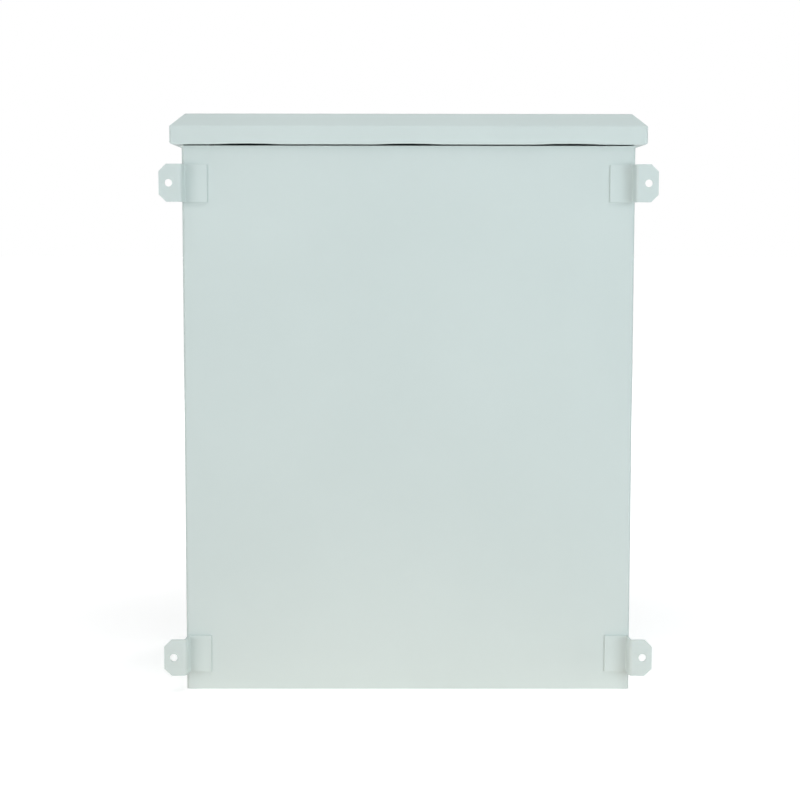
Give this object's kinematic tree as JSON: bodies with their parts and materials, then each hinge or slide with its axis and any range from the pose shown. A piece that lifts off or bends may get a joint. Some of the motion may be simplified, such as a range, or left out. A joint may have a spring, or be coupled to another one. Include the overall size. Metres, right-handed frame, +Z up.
{
  "type": "wall-mounted utility cabinet",
  "caption": "Wall-mounted outdoor utility cabinet of folded painted steel with a rain roof, joggled wall lugs, a hinged sealed door with quarter-turn locks and an inner mounting plate.",
  "frame": {"origin": "under the middle of the whole cabinet, at the level of its flat bottom", "axes": "+Z up; +Y towards the wall that the lugs are fixed to; the door faces -Y; +X to the right as seen from the door"},
  "size_m": [0.436, 0.255, 0.5161],
  "materials": {
    "paint": "light grey powder coat, satin",
    "zinc": "zinc plated steel",
    "galvanised": "hot-dip galvanised sheet with a faint spangle",
    "seal": "matt black foamed seal",
    "die_cast": "chromed zinc casting, satin",
    "copper": "copper-plated steel"
  },
  "bodies": {
    "cabinet": {"body_wrap": "paint", "top_plate": "paint", "bottom_plate": "paint", "wall_lug_top_left": "paint", "wall_lug_top_right": "paint", "wall_lug_bottom_left": "paint", "wall_lug_bottom_right": "paint", "roof": "paint", "roof_spacers": "seal", "roof_bolts": "zinc", "roof_bolt_washers": "zinc", "roof_weld_nuts": "zinc", "mounting_plate": "galvanised", "plate_studs": "zinc", "plate_washers": "zinc", "plate_nuts": "zinc", "gland_plate": "galvanised", "gland_gasket": "seal", "gland_studs": "zinc", "gland_washers": "zinc", "gland_nuts": "zinc", "body_earth_stud": "copper", "body_earth_washer": "copper", "body_earth_nut": "copper", "hinge_upper_body_leaf": "paint", "hinge_upper_pin": "zinc", "hinge_lower_body_leaf": "paint", "hinge_lower_pin": "zinc"},
    "door": {"door": "paint", "door_gasket": "seal", "hinge_upper_door_leaf": "paint", "hinge_lower_door_leaf": "paint", "door_earth_stud": "copper", "door_earth_washer": "copper", "door_earth_nut": "copper", "lock_upper_housing": "die_cast", "lock_upper_nut": "zinc", "lock_lower_housing": "die_cast", "lock_lower_nut": "zinc"},
    "upper_lock": {"lock_upper_core": "die_cast", "lock_upper_cam": "zinc", "lock_upper_screw": "zinc"},
    "lower_lock": {"lock_lower_core": "die_cast", "lock_lower_cam": "zinc", "lock_lower_screw": "zinc"}
  },
  "joints": [
    {"name": "door_hinge", "type": "hinge", "parent": "cabinet", "child": "door", "pos_m": [-0.2045, -0.0825, 0.24375], "axis": [0, 0, -1], "range_deg": [0, 170]},
    {"name": "upper_lock_turn", "type": "hinge", "parent": "door", "child": "upper_lock", "pos_m": [0.16, -0.1025, 0.37375], "axis": [0, 1, 0], "range_deg": [0, 90]},
    {"name": "lower_lock_turn", "type": "hinge", "parent": "door", "child": "lower_lock", "pos_m": [0.16, -0.1025, 0.11375], "axis": [0, 1, 0], "range_deg": [0, 90]}
  ]
}
